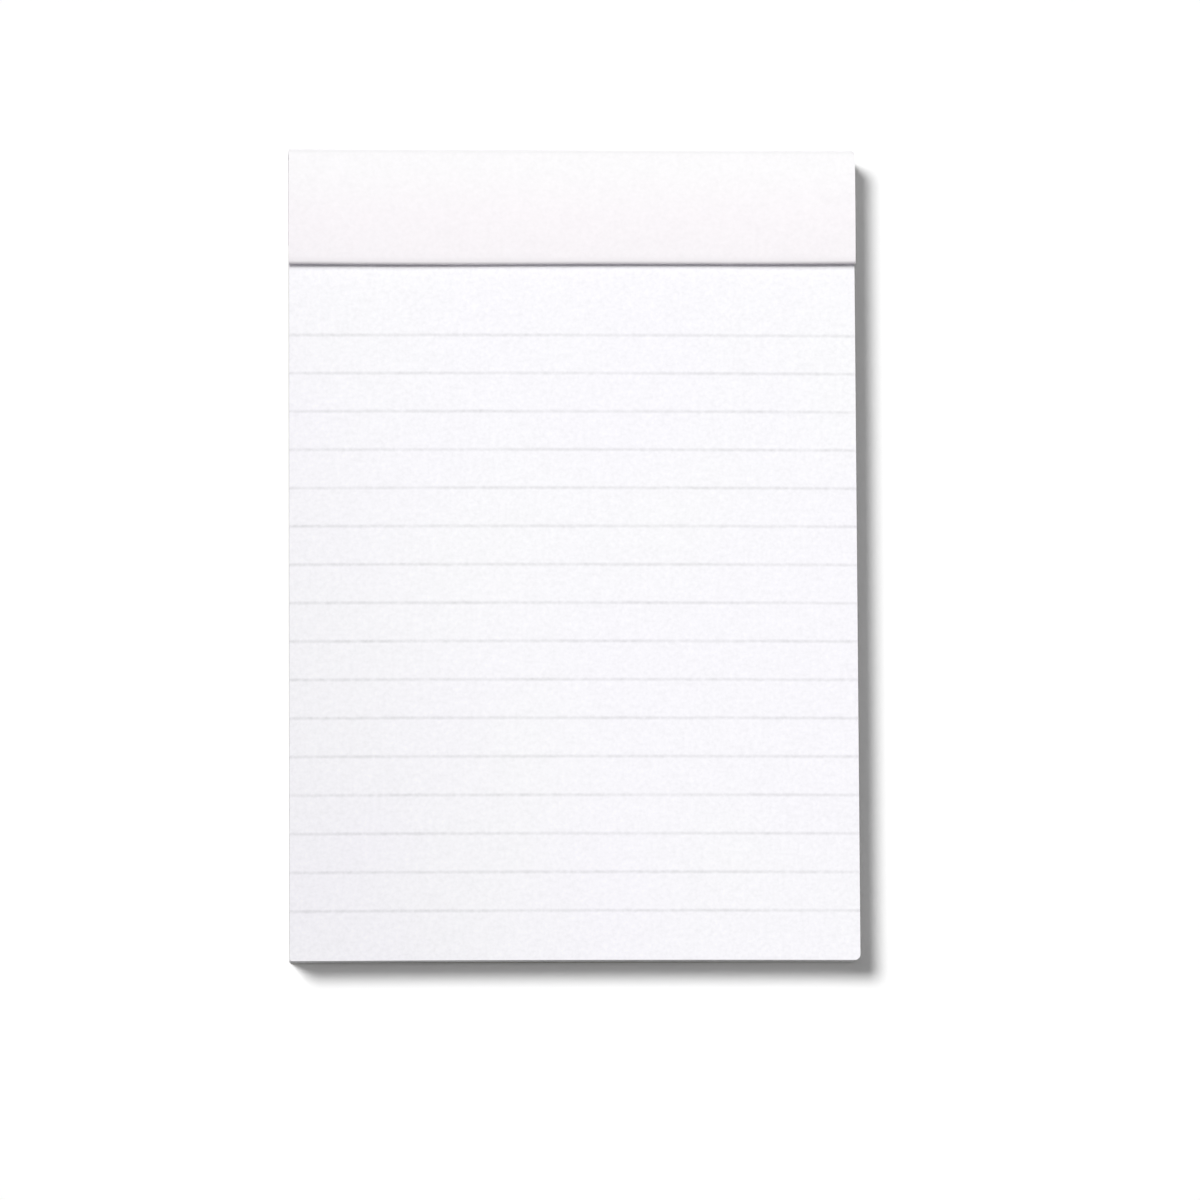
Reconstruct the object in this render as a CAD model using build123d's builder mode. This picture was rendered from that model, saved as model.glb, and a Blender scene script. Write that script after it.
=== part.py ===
"""Ruled notepad bound at its head, lying on its back. Sizes are in millimetres.

X runs across the pad, +Y points to the bound head and +Z points up out of the written face.
The origin is on the resting plane, in the middle of the pad's outline.
"""

from build123d import *

import os
from math import atan, tan

# Sheets, trimmed to just under A6
page_width = 103.3
page_length = 147.7
sheet_count = 80
sheet_thickness = 0.1

# Foot corners of the sheets and the board, the right one more rubbed than the left
foot_radius_left = 0.4
foot_radius_right = 1.0

# Backing board, with the header's back leg pressed a little into it
board_thickness = 1.0
strip_bite = 0.1

# Header strip: back leg, head wall, domed crown, rolled fold and hem, all one folded card,
# which stands out a little beyond the sheets at both ends
strip_thickness = 0.3
strip_overhang = 0.1
header_depth = 21.0
back_leg = 16.0
hem_setback = 1.5
hem_rise = 9.0
hem_lift = 0.6
fold_gap = 0.5
crown_rise = 0.35

# Staples of flat wire, through the hem, the sheets and the board
wire_width = 0.7
wire_thickness = 0.5
wire_bend = 0.6
wire_press = 0.05
pierce_clearance = 0.03
staple_crown = 13.0
clinch_gap = 4.5
staple_inset = 8.0
staple_spacing = 52.0

# Levels, from the resting plane up
board_back = strip_thickness - strip_bite
board_top = board_back + board_thickness
page_top = board_top + sheet_count * sheet_thickness
hem_top = page_top + strip_thickness

# Places along the length: the strip wraps the head, so it counts in the pad's outline
outline_length = page_length + strip_thickness
foot_y = -outline_length / 2
head_y = foot_y + page_length
page_middle = (foot_y + head_y) / 2
fold_y = head_y + strip_thickness - header_depth

# The hem lies flat under the staples and springs up to the fold, where the card rolls over into the crown
fold_level = hem_top + hem_lift
crown_level = fold_level + fold_gap
crown_end = fold_y + strip_thickness + fold_gap / 2
crown_span = head_y - crown_end
roll_end = crown_end + fold_gap * tan(atan(2 * crown_rise / crown_span) - atan(hem_lift / hem_rise))
hem_flat = roll_end + hem_rise

# Staples: the crown lies on the hem, the clinched legs lie between board and back leg
staple_y = head_y - staple_inset
staple_top = hem_top + wire_thickness / 2 - wire_press
clinch_level = strip_thickness + wire_thickness / 2 - wire_press


def trimmed_outline():
    """Outline of a sheet seen from above, square at the head and rounded at the foot corners."""
    with BuildSketch() as outline:
        with Locations((0, page_middle)):
            Rectangle(page_width, page_length)
        left_corners = outline.vertices().group_by(Axis.X)[0]
        fillet(left_corners.sort_by(Axis.Y)[0], foot_radius_left)
        right_corners = outline.vertices().group_by(Axis.X)[-1]
        fillet(right_corners.sort_by(Axis.Y)[0], foot_radius_right)
    return outline.sketch


def staple(x_middle, clearance=0.0):
    """Bent and clinched wire centred on x_middle, thicker all round by the clearance."""
    left = x_middle - staple_crown / 2
    right = x_middle + staple_crown / 2
    with BuildPart() as bent_wire:
        with BuildLine(Plane.XZ.offset(-staple_y)) as path:
            FilletPolyline(
                (x_middle - clinch_gap / 2, clinch_level),
                (left, clinch_level),
                (left, staple_top),
                (right, staple_top),
                (right, clinch_level),
                (x_middle + clinch_gap / 2, clinch_level),
                radius=wire_bend,
            )
        with BuildSketch(Plane(path.line @ 0, x_dir=(0, 1, 0), z_dir=path.line % 0)):
            Rectangle(wire_width + 2 * clearance, wire_thickness + 2 * clearance)
        sweep()
    return bent_wire.part


staple_places = {
    "staple_left": -staple_spacing / 2,
    "staple_right": staple_spacing / 2,
}
pierced_paths = [staple(x_middle, pierce_clearance) for x_middle in staple_places.values()]

with BuildPart() as sheet_block:
    with BuildSketch(Plane.XY.offset(board_top)):
        add(trimmed_outline())
    extrude(amount=page_top - board_top)
    add(pierced_paths, mode=Mode.SUBTRACT)

with BuildPart() as backing_board:
    with BuildSketch(Plane.XY.offset(board_back)):
        add(trimmed_outline())
    extrude(amount=board_thickness)
    with BuildSketch(Plane.XY.offset(board_back)):
        with Locations((0, head_y)):
            Rectangle(page_width, back_leg, align=(Align.CENTER, Align.MAX))
    extrude(amount=strip_bite, mode=Mode.SUBTRACT)
    add(pierced_paths, mode=Mode.SUBTRACT)

with BuildPart() as header_strip:
    with BuildSketch(Plane.YZ):
        with BuildLine():
            back = Line((head_y - back_leg, strip_thickness), (head_y, strip_thickness))
            head_wall = Line(back @ 1, (head_y, crown_level))
            crown = SagittaArc(head_wall @ 1, (crown_end, crown_level), -crown_rise)
            roll = TangentArc(crown @ 1, (roll_end, fold_level), tangent=crown % 1)
            hem = TangentArc(roll @ 1, (hem_flat, hem_top), tangent=roll % 1)
            Line(hem @ 1, (head_y - hem_setback, hem_top))
            offset(amount=strip_thickness, side=Side.LEFT)
        make_face()
    extrude(amount=page_width / 2 + strip_overhang, both=True)
    add(pierced_paths, mode=Mode.SUBTRACT)

sheet_block.part.label = "sheet_block"
backing_board.part.label = "backing_board"
header_strip.part.label = "header_strip"
pieces = [sheet_block.part, backing_board.part, header_strip.part]
for name, x_middle in staple_places.items():
    bent_wire = staple(x_middle)
    bent_wire.label = name
    pieces.append(bent_wire)

os.makedirs("parts", exist_ok=True)
for piece in pieces:
    export_step(piece, f"parts/{piece.label}.step")
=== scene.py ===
"""Looks of the ruled notepad: a stack of trimmed sheets, a folded header card, greyboard and staples.

Lengths named in capitals are in millimetres unless their comment says otherwise. Meshes are in metres, in
the part's own frame: +X to the reader's right, +Y to the bound head, +Z up out of the written face.
"""

import math

import bmesh
import bpy
import numpy as np
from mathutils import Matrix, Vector


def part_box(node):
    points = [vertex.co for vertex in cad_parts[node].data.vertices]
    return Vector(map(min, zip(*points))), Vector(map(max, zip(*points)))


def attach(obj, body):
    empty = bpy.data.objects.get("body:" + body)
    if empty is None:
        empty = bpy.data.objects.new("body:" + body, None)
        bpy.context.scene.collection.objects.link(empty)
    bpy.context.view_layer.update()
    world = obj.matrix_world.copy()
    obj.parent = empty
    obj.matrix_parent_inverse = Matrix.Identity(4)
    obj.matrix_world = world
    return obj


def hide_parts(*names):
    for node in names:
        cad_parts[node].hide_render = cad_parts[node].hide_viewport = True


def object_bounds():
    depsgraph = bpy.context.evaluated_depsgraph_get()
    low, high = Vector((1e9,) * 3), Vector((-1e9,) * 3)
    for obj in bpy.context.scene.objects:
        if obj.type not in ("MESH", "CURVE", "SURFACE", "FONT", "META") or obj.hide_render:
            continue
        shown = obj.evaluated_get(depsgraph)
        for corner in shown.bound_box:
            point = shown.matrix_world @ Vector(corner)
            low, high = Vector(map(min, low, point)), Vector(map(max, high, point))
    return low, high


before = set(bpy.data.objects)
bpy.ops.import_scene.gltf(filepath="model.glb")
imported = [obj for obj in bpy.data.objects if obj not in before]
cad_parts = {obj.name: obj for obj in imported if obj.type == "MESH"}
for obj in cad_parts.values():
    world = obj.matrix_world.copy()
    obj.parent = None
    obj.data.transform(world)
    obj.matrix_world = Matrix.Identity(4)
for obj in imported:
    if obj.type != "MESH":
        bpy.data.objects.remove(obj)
cad_low, cad_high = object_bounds()

MM = 0.001

# Sheets: the edge of each lies back by a chance amount, and a fine groove parts it from the next.
# GROOVE_SHARE is the share of a sheet's thickness that one side of a groove takes
SHEET_COUNT = 80
FOOT_RADIUS_LEFT = 0.4
FOOT_RADIUS_RIGHT = 1.0
TRIM_SEED = 16
TRIM_SCATTER = 0.022
TRIM_SKEW = 0.12
GROOVE_DEPTH = 0.045
GROOVE_RANGE = (0.4, 1.6)
GROOVE_SHARE = 0.12

# Ruling on the top sheet, measured down from the head edge of the sheets.
# INK_SHARE is the share of the paper's brightness that a line takes at its middle
LINE_COUNT = 16
LINE_PITCH = 7.0
FIRST_LINE = 33.73
LINE_SPREAD = 1.0
LINE_BOW = 0.12
INK_SHARE = 0.122

# Ticks on the cut edges where the lines run off, with none further out than the margin beyond the ruling
TICK_CORE = 0.16
TICK_SPREAD = 0.4
TICK_MARGIN = (1.0, 2.0)

# Header card, folded as in the part's own section
CARD = 0.3
BACK_LEG = 16.0
HEADER_DEPTH = 21.0
HEM_SETBACK = 1.5
HEM_RISE = 9.0
FOLD_GAP = 0.5
CREASE_RADIUS = 0.1
CROWN_TURN_DEG = 4.0

# Lift of the hem at the fold, and how the fold strays from a straight line.
# Rates are in radians over half the width, and starts in radians
HEM_LIFT_MIDDLE = 0.32
HEM_LIFT_ENDS = 0.25
HEM_LIFT_POWER = 2.5
FOLD_RIPPLE = 0.03
FOLD_RIPPLE_RATE = 9.0
FOLD_RIPPLE_START = 0.6
FOLD_CREEP = -0.05
FOLD_SKEW = 0.17
FOLD_BOW = 0.07
FOLD_WAVE = 0.04
FOLD_WAVE_RATE = 5.0
FOLD_WAVE_START = 1.0

# Wear of the card: folds darkened partly by rubbing and partly by painted shade, and a softened right-hand
# corner at the head
CREASE_SOFTNESS = 0.3
ROLL_SOFTNESS = 0.6
SOFT_CORNER = 0.8
SOFT_CORNER_PULL = 0.5
SOFT_CORNER_LENGTH = 4.0
SOFT_CORNER_RISE = 0.6

# Fineness of the meshes, as numbers of points or steps
INNER_COLUMNS = 27
HEAD_ROWS = 6
LEFT_CORNER_STEPS = 4
RIGHT_CORNER_STEPS = 6
STRAIGHT_POINTS = 4
HEM_FLAT_POINTS = 3
CREASE_POINTS = 5
CROWN_POINTS = 24
ROLL_POINTS = 18
HEM_POINTS = 11
HEADER_STATIONS = 72
CORNER_STATIONS = 6

# Turn from point to point of the card above which it counts as folded, in radians,
# and the angle between its faces up to which they are shaded as one smooth surface
FOLD_TURN = 0.1
SMOOTH_DEG = 40.0

# Colours, as shares of the red, green and blue light given back.
# The card's tint drifts from one to the other between two distances from the head
PAPER_TINT_PLAIN = (0.953, 0.942, 0.982)
PAPER_TINT_LILAC = (0.953, 0.935, 0.991)
CARD_TINT_HEAD = (0.9365, 0.918, 0.95)
CARD_TINT_FOLD = (0.9495, 0.909, 0.954)
CARD_DRIFT = (12.0, 3.0)
EDGE_TINT = (0.93, 0.925, 0.935)
BOARD_TINT = (0.6, 0.575, 0.535)
WIRE_TINT = (0.62, 0.62, 0.63)

# Range in which most of the noise lies
NOISE_MIDDLE = (0.3, 0.7)

# Camera, fitted to the edges and the ruled lines of the photograph.
# Its lens gives PIXELS_PER_MM at a distance of CAMERA_REFERENCE
IMAGE_PIXELS = 1200
PIXELS_PER_MM = 5.48
CAMERA_DISTANCE = 1395.0
CAMERA_REFERENCE = 1400.0
CAMERA_AIM = (4.77, -8.45)
CAMERA_TILT_DEG = -5.34
CAMERA_YAW_DEG = 3.095
CAMERA_ROLL_DEG = -0.013
CAMERA_REACH = 20000.0
SENSOR_MM = 36.0

# Light, as shares of the level at which a white surface facing up renders white.
# The pad is lit from its head; its shadow falls to the lower right
SUN_SHARE = 0.72
PAD_SUN_SLOPE = (0.16, -0.42)
PAD_SUN_ANGLE_DEG = 36.0
FLOOR_SUN_SLOPE = (0.448, -0.338)
FLOOR_SUN_ANGLE_DEG = 19.0
AMBIENT_SHARE = 0.155

# Floor, a hair below the pad. The camera sees it with the gain and the glow, so that it is white
FLOOR_HALF_SIZE = 6000.0
FLOOR_DROP = 0.02
FLOOR_ALBEDO = 0.85
FLOOR_GAIN = 1.083
FLOOR_GLOW = 0.06

# Soft-edged, slightly yellow fill lamp over the right side. It leaves the foot's left corner a little darker
FILL_WATTS = 2.314
FILL_COLOUR = (0.94, 1.0, 0.86)
FILL_PLACE = (120.0, 250.0, 609.0)
FILL_AIM = (900.0, 570.0, 9.0)
FILL_CONE_DEG = 164.1
FILL_BLEND = 0.144
FILL_RADIUS = 15.0

chance = np.random.default_rng(TRIM_SEED)
sheets_low, sheets_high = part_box("sheet_block")
half_width = sheets_high.x
header_half_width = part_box("header_strip")[1].x
foot_y = sheets_low.y
head_y = sheets_high.y
page_top = sheets_high.z
hem_top = page_top + CARD * MM
fold_y = head_y + (CARD - HEADER_DEPTH) * MM


def feed(tree, node, inputs):
    """Sets a node's inputs, each to a value or to the socket that feeds it."""
    for key, value in inputs.items():
        if isinstance(value, bpy.types.NodeSocket):
            tree.links.new(value, node.inputs[key])
        else:
            node.inputs[key].default_value = value


def add_node(tree, kind, inputs=None, **settings):
    """Adds a shader node with its inputs and settings."""
    made = tree.nodes.new(kind)
    for key, value in settings.items():
        setattr(made, key, value)
    feed(tree, made, inputs or {})
    return made


def empty_tree(owner):
    """Turns on the nodes of a material or world and clears them."""
    owner.use_nodes = True
    owner.node_tree.nodes.clear()
    return owner.node_tree


def new_material(name):
    """A material without nodes yet, and its tree."""
    material = bpy.data.materials.new(name)
    return material, empty_tree(material)


def surface(tree, inputs):
    """Ends a material with a Principled shader of these inputs."""
    shader = add_node(tree, "ShaderNodeBsdfPrincipled", inputs)
    add_node(tree, "ShaderNodeOutputMaterial", {"Surface": shader.outputs["BSDF"]})


def math_node(tree, operation, first, second=0.0):
    """One operation on two numbers, or on the first alone."""
    return add_node(tree, "ShaderNodeMath", {0: first, 1: second}, operation=operation).outputs[0]


def product(tree, first, *others):
    """Several numbers multiplied together."""
    result = first
    for other in others:
        result = math_node(tree, "MULTIPLY", result, other)
    return result


def remainder(tree, share):
    """What a share leaves of 1."""
    return math_node(tree, "SUBTRACT", 1.0, share)


def scaled(tree, vector, factor):
    """A place or a colour multiplied by one number, or by one for each of its parts."""
    inputs = {0: vector, 1: factor}
    return add_node(tree, "ShaderNodeVectorMath", inputs, operation="MULTIPLY").outputs["Vector"]


def mixed(tree, factor, first, second):
    """A colour between two, by a factor from 0 to 1."""
    inputs = {0: factor, 6: (*first, 1.0), 7: (*second, 1.0)}
    return add_node(tree, "ShaderNodeMix", inputs, data_type="RGBA").outputs[2]


def attribute(tree, name):
    """A number that the mesh carries at its points."""
    return add_node(tree, "ShaderNodeAttribute", attribute_name=name).outputs["Fac"]


def position_mm(tree, stretch=(1.0, 1.0, 1.0)):
    """Position on the part in millimetres, multiplied by stretch along each axis."""
    place = add_node(tree, "ShaderNodeTexCoord").outputs["Object"]
    return scaled(tree, place, [factor / MM for factor in stretch])


def along_mm(tree):
    """Position along the pad's length, in millimetres."""
    return add_node(tree, "ShaderNodeSeparateXYZ", {0: position_mm(tree)}).outputs["Y"]


def remap(tree, value, low, high, new_low, new_high):
    """Maps low..high to new_low..new_high, clamped."""
    inputs = {
        "Value": value,
        "From Min": low,
        "From Max": high,
        "To Min": new_low,
        "To Max": new_high,
    }
    return add_node(tree, "ShaderNodeMapRange", inputs).outputs["Result"]


def noise(tree, place, scale, detail=3.0, roughness=0.55):
    """Noise from 0 to 1 with about scale grains to each unit of place."""
    inputs = {"Vector": place, "Scale": scale, "Detail": detail, "Roughness": roughness}
    return add_node(tree, "ShaderNodeTexNoise", inputs).outputs["Fac"]


def varied(tree, place, scale, low, high, detail=3.0, roughness=0.55, within=NOISE_MIDDLE):
    """Noise whose range within is stretched to run from low to high."""
    return remap(tree, noise(tree, place, scale, detail, roughness), *within, low, high)


def tooth(tree, place, scale, depth):
    """Fine roughness of a surface as bump, with its depth in millimetres."""
    height = noise(tree, place, scale, detail=4.0, roughness=0.6)
    inputs = {"Height": height, "Strength": 0.35, "Distance": depth * MM}
    return add_node(tree, "ShaderNodeBump", inputs).outputs["Normal"]


def paper_grain(tree, place, cloud, fibre):
    """Grey factor around 1: cloudy formation of the sheet and the grain of its fibres, as full ranges."""
    cloud_ends = {"low": 1.0 - cloud / 2, "high": 1.0 + cloud / 2}
    fibre_ends = {"low": 1.0 - fibre / 2, "high": 1.0 + fibre / 2}
    clouds = varied(tree, place, scale=0.5, detail=2.0, **cloud_ends)
    fibres = varied(tree, place, scale=1.2, detail=2.5, roughness=0.6, **fibre_ends)
    return product(tree, clouds, fibres)


def ruling_tone(tree, place):
    """What a ruled line leaves of the paper's brightness: it feathers out and is uneven along its length."""
    along_stroke = position_mm(tree, (0.05, 0.35, 0.35))
    ragged = varied(tree, place, scale=3.0, low=-0.12, high=0.12, detail=2.0)
    from_middle = math_node(tree, "ADD", attribute(tree, "across_line"), ragged)
    swing = math_node(tree, "COSINE", product(tree, from_middle, math.pi / 2))
    specks = varied(tree, place, scale=0.9, low=0.6, high=1.4)
    strokes = varied(tree, along_stroke, scale=1.0, low=0.75, high=1.25, detail=2.0)
    return remainder(tree, product(tree, swing, swing, specks, strokes, INK_SHARE))


def writing_paper(name, ruled=False):
    """Smooth uncoated writing paper, bare or with the ink of a ruled line."""
    material, tree = new_material(name)
    place = position_mm(tree)
    drift = varied(tree, place, scale=0.03, low=0.0, high=1.0, detail=1.0, within=(0.35, 0.65))
    tint = mixed(tree, drift, PAPER_TINT_PLAIN, PAPER_TINT_LILAC)
    tone = paper_grain(tree, place, cloud=0.026, fibre=0.075)
    if ruled:
        tone = product(tree, tone, ruling_tone(tree, place))
    surface(tree, {
        "Base Color": scaled(tree, tint, tone),
        "Roughness": varied(tree, place, scale=2.0, low=0.62, high=0.72),
        "Specular IOR Level": 0.25,
        "Normal": tooth(tree, place, scale=5.0, depth=0.02),
    })
    return material


def line_ticks(tree):
    """How strongly the ends of the ruled lines show at a place on the cut edges."""
    along = along_mm(tree)
    first_line = head_y / MM - FIRST_LINE
    last_line = first_line - LINE_PITCH * (LINE_COUNT - 1)
    near, far = TICK_MARGIN
    from_line = math_node(tree, "PINGPONG", math_node(tree, "SUBTRACT", along, first_line), LINE_PITCH / 2)
    near_line = remap(tree, from_line, TICK_CORE, TICK_SPREAD, 1.0, 0.0)
    below_first = remap(tree, along, first_line + near, first_line + far, 1.0, 0.0)
    above_last = remap(tree, along, last_line - far, last_line - near, 0.0, 1.0)
    sheet_by_sheet = position_mm(tree, (0.3, 0.3, 8.0))
    inked = varied(tree, sheet_by_sheet, scale=1.0, low=0.02, high=0.13, within=(0.4, 0.6))
    return product(tree, near_line, below_first, above_last, inked)


def trimmed_edges():
    """Cut edges of the sheets: thin uneven layers, with a faint tick where each ruled line runs off."""
    material, tree = new_material("trimmed_edges")
    layers = varied(tree, position_mm(tree, (0.03, 0.03, 9.0)), scale=1.0, low=0.86, high=1.0, detail=2.0)
    bands = varied(tree, position_mm(tree, (0.015, 0.015, 1.6)), scale=1.0, low=0.95, high=1.0, detail=1.0)
    tone = product(tree, layers, bands, remainder(tree, line_ticks(tree)))
    surface(tree, {
        "Base Color": scaled(tree, EDGE_TINT, tone),
        "Roughness": 0.85,
        "Specular IOR Level": 0.15,
        "Normal": tooth(tree, position_mm(tree, (1.0, 1.0, 6.0)), scale=2.0, depth=0.03),
    })
    return material


def header_card():
    """Smooth white card, a touch warmer than the sheets, with folds greyed partly by wear and partly by
    painted shade.
    """
    material, tree = new_material("header_card")
    place = position_mm(tree)
    far, near = CARD_DRIFT
    from_head = remap(tree, along_mm(tree), head_y / MM - far, head_y / MM - near, 1.0, 0.0)
    tint = mixed(tree, from_head, CARD_TINT_HEAD, CARD_TINT_FOLD)
    # Darkening of the folds: part real wear, part painted shade at the creases and the roll
    rubbed_and_shaded = varied(tree, place, scale=1.2, low=0.06, high=0.085, detail=4.0)
    wear_and_shade = product(tree, attribute(tree, "crease_wear_and_shade"), rubbed_and_shaded)
    tone = product(tree, paper_grain(tree, place, cloud=0.02, fibre=0.04), remainder(tree, wear_and_shade))
    surface(tree, {
        "Base Color": scaled(tree, tint, tone),
        "Roughness": varied(tree, place, scale=1.5, low=0.54, high=0.62),
        "Specular IOR Level": 0.22,
        "Normal": tooth(tree, place, scale=4.0, depth=0.012),
    })
    return material


def greyboard():
    """Recycled grey board: mottled pulp with pale and dark fibres."""
    material, tree = new_material("greyboard_pulp")
    place = position_mm(tree)
    dark_fibres = position_mm(tree, (1.3, 0.5, 1.3))
    pale_fibres = position_mm(tree, (0.5, 1.4, 1.4))
    plies = position_mm(tree, (0.1, 0.1, 7.0))
    tone = product(
        tree,
        varied(tree, place, scale=0.5, low=0.88, high=1.06, detail=5.0, roughness=0.7),
        varied(tree, place, scale=6.0, low=0.86, high=1.1, roughness=0.7, within=(0.25, 0.75)),
        varied(tree, dark_fibres, scale=1.5, low=1.0, high=0.72, detail=1.0, within=(0.7, 0.76)),
        varied(tree, pale_fibres, scale=1.7, low=1.0, high=1.3, detail=1.0, within=(0.69, 0.75)),
        varied(tree, plies, scale=1.0, low=0.92, high=1.05, detail=2.0),
    )
    surface(tree, {
        "Base Color": scaled(tree, BOARD_TINT, tone),
        "Roughness": 0.9,
        "Specular IOR Level": 0.15,
        "Normal": tooth(tree, place, scale=3.0, depth=0.05),
    })
    return material


def staple_wire():
    """Galvanised staple wire with drawing marks along it."""
    material, tree = new_material("staple_wire")
    place = position_mm(tree, (0.4, 4.0, 4.0))
    surface(tree, {
        "Base Color": scaled(tree, WIRE_TINT, varied(tree, place, scale=3.0, low=0.85, high=1.05)),
        "Roughness": varied(tree, place, scale=5.0, low=0.3, high=0.45),
        "Metallic": 1.0,
    })
    return material


class Shell:
    """Points and faces of one closed mesh while it is being built."""

    def __init__(self):
        self.points = []
        self.faces = []
        self.face_materials = []

    def add_points(self, points):
        """Adds points and returns their numbers."""
        start = len(self.points)
        self.points.extend(points)
        return list(range(start, len(self.points)))

    def add_face(self, corners, material=0):
        """Adds a face between numbered points, with the number of its material."""
        self.faces.append(tuple(corners))
        self.face_materials.append(material)

    def add_strip(self, lower, upper, material=0):
        """Adds the faces between two open rows of points."""
        for place in range(len(lower) - 1):
            self.add_face((lower[place], lower[place + 1], upper[place + 1], upper[place]), material)

    def add_band(self, first, second, material=0):
        """Adds the faces between two closed rings of points."""
        self.add_strip(first + first[:1], second + second[:1], material)

    def piece(self, name, materials):
        """The finished mesh, with its faces turned outward, riding on the part's one body."""
        mesh = bpy.data.meshes.new(name)
        mesh.from_pydata([tuple(point) for point in self.points], [], self.faces)
        for material in materials:
            mesh.materials.append(material)
        mesh.polygons.foreach_set("material_index", self.face_materials)
        shape = bmesh.new()
        shape.from_mesh(mesh)
        bmesh.ops.recalc_face_normals(shape, faces=shape.faces)
        shape.to_mesh(mesh)
        shape.free()
        piece = bpy.data.objects.new(name, mesh)
        bpy.context.scene.collection.objects.link(piece)
        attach(piece, "root")
        return piece


def carry(piece, name, values):
    """Gives a mesh one number for each of its points."""
    piece.data.attributes.new(name, "FLOAT", "POINT").data.foreach_set("value", values)


def ruled_rows():
    """Levels along Y of the top sheet's grid, and the rows that start a band of ink."""
    levels = [foot_y + FOOT_RADIUS_RIGHT * MM]
    ink_rows = []
    for line in reversed(range(LINE_COUNT)):
        centre = head_y - (FIRST_LINE + LINE_PITCH * line) * MM
        ink_rows.append(len(levels))
        levels += [centre - LINE_SPREAD * MM / 2, centre + LINE_SPREAD * MM / 2]
        levels.append(centre + LINE_PITCH * MM / 2)
    return levels + list(np.linspace(levels[-1], head_y, HEAD_ROWS)[1:]), ink_rows


def sheet_point(x, y):
    """A point of the top sheet, whose foot edge and lines bow a little and whose right edge is cut askew."""
    under_header = min(1.0, (head_y - y) / (HEADER_DEPTH * MM))
    bow = LINE_BOW * MM * (1.0 - (x / half_width) ** 2) * under_header
    skew = TRIM_SKEW * MM * (0.5 + x / half_width / 2) * (head_y - y) / (head_y - foot_y)
    return (x + skew, y + bow, page_top)


def corner_arc(centre_x, radius, start_deg, steps):
    """Points strictly inside a quarter turn of a foot corner, counter-clockwise seen from above."""
    centre_y = foot_y + radius
    points = []
    for step in range(1, steps):
        turn = math.radians(start_deg + 90.0 * step / steps)
        points.append(sheet_point(centre_x + radius * math.cos(turn), centre_y + radius * math.sin(turn)))
    return points


def layered_edges(shell, rim, material):
    """Adds the cut edges of all the sheets below a rim, and returns the lowest ring of points."""
    outline = np.array([shell.points[point][:2] for point in rim])
    across = outline[:, 0] / (2 * half_width)
    along = (outline[:, 1] - foot_y) / (head_y - foot_y)
    thickness = (page_top - sheets_low.z) / SHEET_COUNT
    above = rim
    for sheet in range(SHEET_COUNT):
        left_in, right_in, foot_in = np.abs(chance.normal(0.0, TRIM_SCATTER, 3)) * MM
        groove = GROOVE_DEPTH * chance.uniform(*GROOVE_RANGE) * MM
        top = page_top - sheet * thickness
        if sheet == 0:
            left_in = right_in = foot_in = 0.0
        for depth, inset in ((GROOVE_SHARE, 0.0), (1.0 - GROOVE_SHARE, 0.0), (1.0, groove)):
            x = outline[:, 0] + (left_in + inset) * (0.5 - across) - (right_in + inset) * (0.5 + across)
            y = outline[:, 1] + (foot_in + inset) * (1.0 - along)
            z = top - depth * thickness
            below = shell.add_points([(*place, z) for place in zip(x, y)])
            shell.add_band(above, below, material)
            above = below
    return above


def ruled_sheets(paper, ink, edges):
    """The stack of sheets as one closed mesh: a ruled top face over layered trimmed edges."""
    paper_index, ink_index, edge_index = range(3)
    shell = Shell()
    rows, ink_rows = ruled_rows()
    left_radius = FOOT_RADIUS_LEFT * MM
    right_radius = FOOT_RADIUS_RIGHT * MM
    left_centre = left_radius - half_width
    right_centre = half_width - right_radius
    columns = [-half_width, *np.linspace(-right_centre, right_centre, INNER_COLUMNS), half_width]
    grid = [shell.add_points([sheet_point(x, y) for x in columns]) for y in rows]
    foot = shell.add_points([sheet_point(x, foot_y) for x in columns[1:-1]])
    right_arc = shell.add_points(corner_arc(right_centre, right_radius, -90.0, RIGHT_CORNER_STEPS))
    left_arc = shell.add_points([
        sheet_point(-half_width, foot_y + left_radius),
        *corner_arc(left_centre, left_radius, 180.0, LEFT_CORNER_STEPS),
        sheet_point(left_centre, foot_y),
    ])

    for row in range(len(rows) - 1):
        shell.add_strip(grid[row], grid[row + 1], ink_index if row in ink_rows else paper_index)
    shell.add_strip(foot, grid[0][1:-1], paper_index)
    shell.add_face((foot[-1], *right_arc, grid[0][-1], grid[0][-2]), paper_index)
    shell.add_face((foot[0], grid[0][1], grid[0][0], *left_arc), paper_index)

    right_side = [row[-1] for row in grid]
    head_side = grid[-1][-2:0:-1]
    left_side = [row[0] for row in reversed(grid)]
    rim_parts = [foot, right_arc, right_side, head_side, left_side, left_arc]
    lowest = layered_edges(shell, sum(rim_parts, []), edge_index)

    part_ends = np.cumsum([len(part) for part in rim_parts])
    foot, right_arc, right_side, head_side, left_side, left_arc = [
        part.tolist() for part in np.split(np.array(lowest), part_ends[:-1])
    ]
    left_side.reverse()
    shell.add_face((*foot, *right_arc, right_side[0], left_side[0], *left_arc), edge_index)
    shell.add_strip(right_side[:-1], left_side[:-1], edge_index)
    shell.add_face((*right_side[-2:], *head_side, left_side[-1], left_side[-2]), edge_index)

    across_line = np.zeros(len(shell.points))
    for row in ink_rows:
        across_line[grid[row]] = -1.0
        across_line[grid[row + 1]] = 1.0
    sheets = shell.piece("ruled_sheets", [paper, ink, edges])
    carry(sheets, "across_line", across_line)
    return sheets


def arc(centre, radius, turns):
    """Inner-face points on an arc, each with its outward direction: (y, z, direction)."""
    y, z = centre
    return [(y + radius * math.cos(turn), z + radius * math.sin(turn), turn) for turn in turns]


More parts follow.
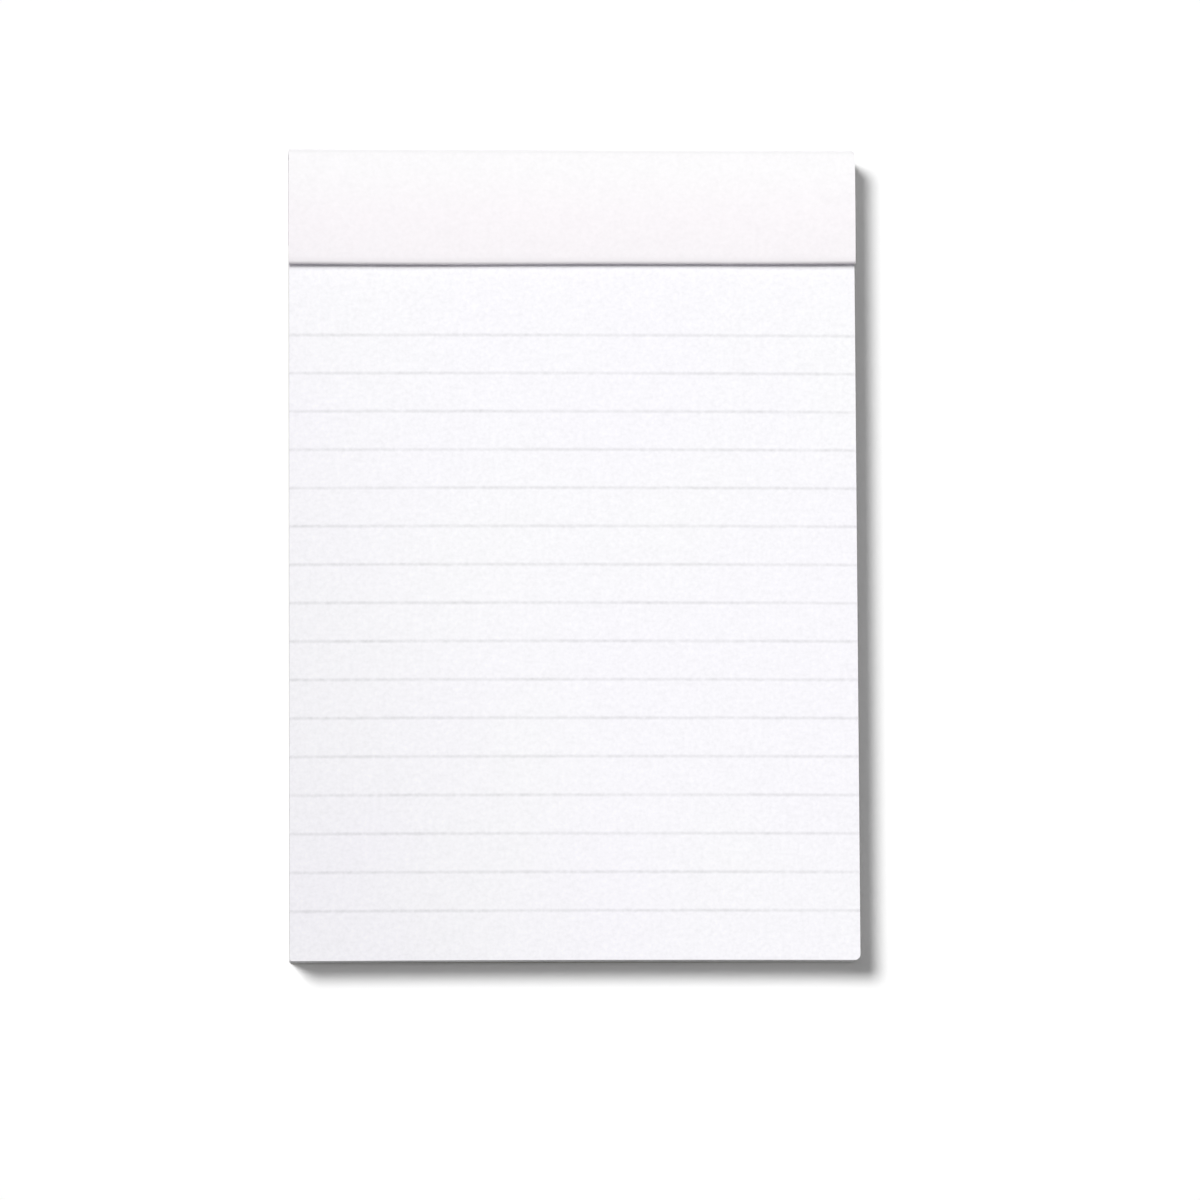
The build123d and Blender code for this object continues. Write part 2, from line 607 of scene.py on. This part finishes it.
def straight(start, end, direction, count):
    """Inner-face points strictly between two ends, with their outward direction."""
    shares = np.linspace(0.0, 1.0, count + 2)[1:-1]
    run, rise = end[0] - start[0], end[1] - start[1]
    return [(start[0] + run * share, start[1] + rise * share, direction) for share in shares]


def folded_section(hem_lift, fold_shift):
    """Inner face of the card from the back leg round to the hem, for one place along the width.

    The hem lies on the sheets and springs up by hem_lift where it turns into the rolled fold.
    """
    turn = math.radians(CROWN_TURN_DEG)
    hem_turn = math.atan(2 * hem_lift / (HEM_RISE * MM))
    quarter = math.pi / 2
    crease = CREASE_RADIUS * MM
    roll_radius = FOLD_GAP * MM / (math.cos(hem_turn) + math.cos(turn))
    roll_y = fold_y + fold_shift + CARD * MM + roll_radius
    roll_centre = (roll_y, hem_top + hem_lift + roll_radius * math.cos(hem_turn))
    crown_end = (roll_y - roll_radius * math.sin(turn), roll_centre[1] + roll_radius * math.cos(turn))
    crown_start = (head_y - crease * (1.0 - math.sin(turn)), crown_end[1])
    crown_radius = (crown_start[0] - crown_end[0]) / 2 / math.sin(turn)
    crown_centre = ((crown_start[0] + crown_end[0]) / 2, crown_end[1] - crown_radius * math.cos(turn))
    crown_turns = quarter - turn * np.cos(np.linspace(0.0, math.pi, CROWN_POINTS))
    roll_turns = np.linspace(quarter + turn, 3 * quarter - hem_turn, ROLL_POINTS)
    head_centre = (head_y - crease, crown_start[1] - crease * math.cos(turn))
    back_centre = (head_y - crease, CARD * MM + crease)
    leg_end = (head_y - BACK_LEG * MM, CARD * MM)
    section = [(*leg_end, -quarter)]
    section += straight(leg_end, (head_y - crease, CARD * MM), -quarter, STRAIGHT_POINTS)
    section += arc(back_centre, crease, np.linspace(-quarter, 0.0, CREASE_POINTS))
    section += straight((head_y, back_centre[1]), (head_y, head_centre[1]), 0.0, STRAIGHT_POINTS)
    section += arc(head_centre, crease, np.linspace(0.0, quarter - turn, CREASE_POINTS))
    section += arc(crown_centre, crown_radius, crown_turns[1:-1])
    section += arc(roll_centre, roll_radius, roll_turns)
    hem_start = roll_y - roll_radius * math.sin(hem_turn)
    for share in np.linspace(1.0, 0.0, HEM_POINTS)[1:]:
        place = hem_start + (1.0 - share) * HEM_RISE * MM
        slope = math.atan(share * math.tan(hem_turn))
        section.append((place, hem_top + hem_lift * share ** 2, 3 * quarter - slope))
    hem_end = (head_y - HEM_SETBACK * MM, hem_top)
    section += straight((hem_start + HEM_RISE * MM, hem_top), hem_end, 3 * quarter, HEM_FLAT_POINTS)
    section.append((*hem_end, 3 * quarter))
    return np.array(section)


def crease_wear_and_shade(section):
    """How much wear and painted shade darken each point of a section, 0 to 1: narrowly at the two creases,
    wider at the roll.
    """
    steps = np.hypot(*np.diff(section[:, :2], axis=0).T)
    travelled = np.concatenate([[0.0], np.cumsum(steps)])
    turning = np.abs(np.gradient(section[:, 2]))
    folds = travelled[turning > FOLD_TURN]
    roll_start = folds[np.diff(folds).argmax() + 1]
    nearest = folds[np.abs(travelled[:, None] - folds).argmin(axis=1)]
    softness = np.where(nearest < roll_start, CREASE_SOFTNESS, ROLL_SOFTNESS) * MM
    return np.exp(-((travelled - nearest) / softness) ** 2)


def soften_corner(ring, x):
    """Pulls a ring of the card in at the head, over the sheets, where it comes near the right-hand end."""
    from_end = (header_half_width - x) / (SOFT_CORNER * MM)
    pull = SOFT_CORNER_PULL * MM * max(0.0, 1.0 - from_end) ** 2
    near_head = np.clip((ring[:, 0] - head_y) / (SOFT_CORNER_LENGTH * MM) + 1.0, 0.0, 1.0)
    above_sheets = np.clip((ring[:, 1] - hem_top) / (SOFT_CORNER_RISE * MM), 0.0, 1.0)
    ring[:, 0] -= pull * near_head * above_sheets


def folded_header(card):
    """The header card: one folded strip whose rolled edge stands a little higher towards both ends."""
    corner_start = header_half_width - SOFT_CORNER * MM
    evenly = np.linspace(-header_half_width, corner_start, HEADER_STATIONS)
    corner = np.linspace(corner_start, header_half_width, CORNER_STATIONS)[1:]
    shell = Shell()
    rings, wear_and_shade = [], []
    for x in (*evenly, *corner):
        across = x / header_half_width
        ripple = FOLD_RIPPLE * math.sin(FOLD_RIPPLE_RATE * across + FOLD_RIPPLE_START)
        wave = FOLD_WAVE * math.sin(FOLD_WAVE_RATE * across + FOLD_WAVE_START)
        hem_lift = HEM_LIFT_MIDDLE + HEM_LIFT_ENDS * abs(across) ** HEM_LIFT_POWER + ripple
        fold_shift = FOLD_CREEP + FOLD_SKEW * across + FOLD_BOW * across ** 2 + wave
        section = folded_section(hem_lift * MM, fold_shift * MM)
        inner = section[:, :2]
        outer = inner + CARD * MM * np.column_stack([np.cos(section[:, 2]), np.sin(section[:, 2])])
        ring = np.vstack([inner, outer[::-1]])
        soften_corner(ring, x)
        rings.append(shell.add_points([(x, y, z) for y, z in ring]))
        # Darkening at the creases and the roll, part wear and part painted shade
        section_wear_and_shade = crease_wear_and_shade(section)
        wear_and_shade += [*section_wear_and_shade, *section_wear_and_shade[::-1]]
    for first, second in zip(rings, rings[1:]):
        shell.add_band(first, second)
    for end in (rings[0], rings[-1]):
        middle = len(end) // 2
        shell.add_strip(end[:middle], end[:middle - 1:-1])
    header = shell.piece("folded_header", [card])
    carry(header, "crease_wear_and_shade", wear_and_shade)
    header.data.shade_smooth()
    header.data.set_sharp_from_angle(angle=math.radians(SMOOTH_DEG))
    return header


def background_rays(tree):
    """1 for the rays that see the white background: from the camera, reflections and clear things."""
    path = add_node(tree, "ShaderNodeLightPath")
    seen = math_node(tree, "MAXIMUM", path.outputs["Is Camera Ray"], path.outputs["Is Glossy Ray"])
    return math_node(tree, "MAXIMUM", seen, path.outputs["Is Transmission Ray"])


def diffuse(tree, level):
    """A matt grey shader."""
    return add_node(tree, "ShaderNodeBsdfDiffuse", {"Color": (level, level, level, 1.0)}).outputs[0]


def studio_floor():
    """Pale floor under the pad. The camera sees it brighter, so that it is white and keeps the shadow."""
    size = FLOOR_HALF_SIZE * MM
    mesh = bpy.data.meshes.new("studio_floor")
    corners = [(-size, -size, 0.0), (size, -size, 0.0), (size, size, 0.0), (-size, size, 0.0)]
    mesh.from_pydata(corners, [], [(0, 1, 2, 3)])
    floor = bpy.data.objects.new("studio_floor", mesh)
    floor.location.z = cad_low.z - FLOOR_DROP * MM
    bpy.context.scene.collection.objects.link(floor)
    material, tree = new_material("studio_floor")
    glow = add_node(tree, "ShaderNodeEmission", {"Strength": FLOOR_GLOW}).outputs[0]
    lifted = add_node(tree, "ShaderNodeAddShader", {0: diffuse(tree, FLOOR_GAIN), 1: glow}).outputs[0]
    inputs = {"Fac": background_rays(tree), 1: diffuse(tree, FLOOR_ALBEDO), 2: lifted}
    mix = add_node(tree, "ShaderNodeMixShader", inputs)
    add_node(tree, "ShaderNodeOutputMaterial", {"Surface": mix.outputs[0]})
    mesh.materials.append(material)
    return floor


def studio_world():
    """Even soft light from all round; the camera and reflections see white."""
    world = bpy.data.worlds.new("studio_world")
    bpy.context.scene.world = world
    tree = empty_tree(world)
    strength = remap(tree, background_rays(tree), 0.0, 1.0, AMBIENT_SHARE, 1.0)
    inputs = {"Color": (1.0, 1.0, 1.0, 1.0), "Strength": strength}
    background = add_node(tree, "ShaderNodeBackground", inputs)
    add_node(tree, "ShaderNodeOutputWorld", {"Surface": background.outputs[0]})


def group(name, things):
    """A collection of the given things."""
    collection = bpy.data.collections.new(name)
    for thing in things:
        collection.objects.link(thing)
    return collection


def place_lamp(light, place, target, things):
    """A lamp that stands at a place, points at a target and lights only the given things."""
    lamp = bpy.data.objects.new(light.name, light)
    bpy.context.scene.collection.objects.link(lamp)
    lamp.location = place
    lamp.rotation_euler = (target - place).to_track_quat("-Z", "Y").to_euler()
    lamp.light_linking.receiver_collection = group(light.name + "_lights", things)
    return lamp


def soft_sun(name, slope, angle_deg, things):
    """A sun that shines down along (slope x, slope y, -1) on the given things."""
    down = Vector((*slope, -1.0))
    sun = bpy.data.lights.new(name, "SUN")
    sun.energy = math.pi * SUN_SHARE * down.length
    sun.angle = math.radians(angle_deg)
    return place_lamp(sun, -down, Vector((0.0, 0.0, 0.0)), things)


def soft_fill(things):
    """A soft-edged spot lamp over the right side of the given things."""
    fill = bpy.data.lights.new("fill", "SPOT")
    fill.energy = FILL_WATTS
    fill.color = FILL_COLOUR
    fill.spot_size = math.radians(FILL_CONE_DEG)
    fill.spot_blend = FILL_BLEND
    fill.shadow_soft_size = FILL_RADIUS * MM
    place_lamp(fill, Vector(FILL_PLACE) * MM, Vector(FILL_AIM) * MM, things)


def photo_camera():
    """Long-lens camera almost straight above the pad, fitted to the photograph."""
    camera = bpy.data.cameras.new("photo_camera")
    camera.sensor_width = SENSOR_MM
    camera.lens = SENSOR_MM * PIXELS_PER_MM * CAMERA_REFERENCE / IMAGE_PIXELS
    camera.clip_end = CAMERA_REACH * MM
    holder = bpy.data.objects.new("photo_camera", camera)
    bpy.context.scene.collection.objects.link(holder)
    holder.rotation_mode = "ZYX"
    turns = (-CAMERA_TILT_DEG, -CAMERA_YAW_DEG, -CAMERA_ROLL_DEG)
    holder.rotation_euler = [math.radians(turn) for turn in turns]
    back = holder.rotation_euler.to_matrix().col[2]
    target = Vector((CAMERA_AIM[0] * MM, CAMERA_AIM[1] * MM, page_top))
    holder.location = target + back * CAMERA_DISTANCE * MM
    bpy.context.scene.camera = holder


def dress(node, material):
    """Gives a node of the part its material."""
    node.data.materials.clear()
    node.data.materials.append(material)


# The sheets and the header card replace their solids; the board and the staples are the solids themselves
paper = writing_paper("writing_paper")
ink = writing_paper("ruling_ink", ruled=True)
sheets = ruled_sheets(paper, ink, trimmed_edges())
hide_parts("sheet_block")

header = folded_header(header_card())
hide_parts("header_strip")

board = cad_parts["backing_board"]
dress(board, greyboard())
steel = staple_wire()
staples = [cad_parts["staple_left"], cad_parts["staple_right"]]
for staple in staples:
    dress(staple, steel)

# The floor's shadow is cast by the sheets and the board alone, whose straight edges give it its outline
floor = studio_floor()
studio_world()
pad = [sheets, header, board, *staples]
soft_sun("pad_sun", PAD_SUN_SLOPE, PAD_SUN_ANGLE_DEG, pad)
floor_sun = soft_sun("floor_sun", FLOOR_SUN_SLOPE, FLOOR_SUN_ANGLE_DEG, [floor])
floor_sun.light_linking.blocker_collection = group("floor_sun_blockers", [sheets, board])
soft_fill(pad)
photo_camera()
bpy.context.scene.view_settings.view_transform = "Standard"
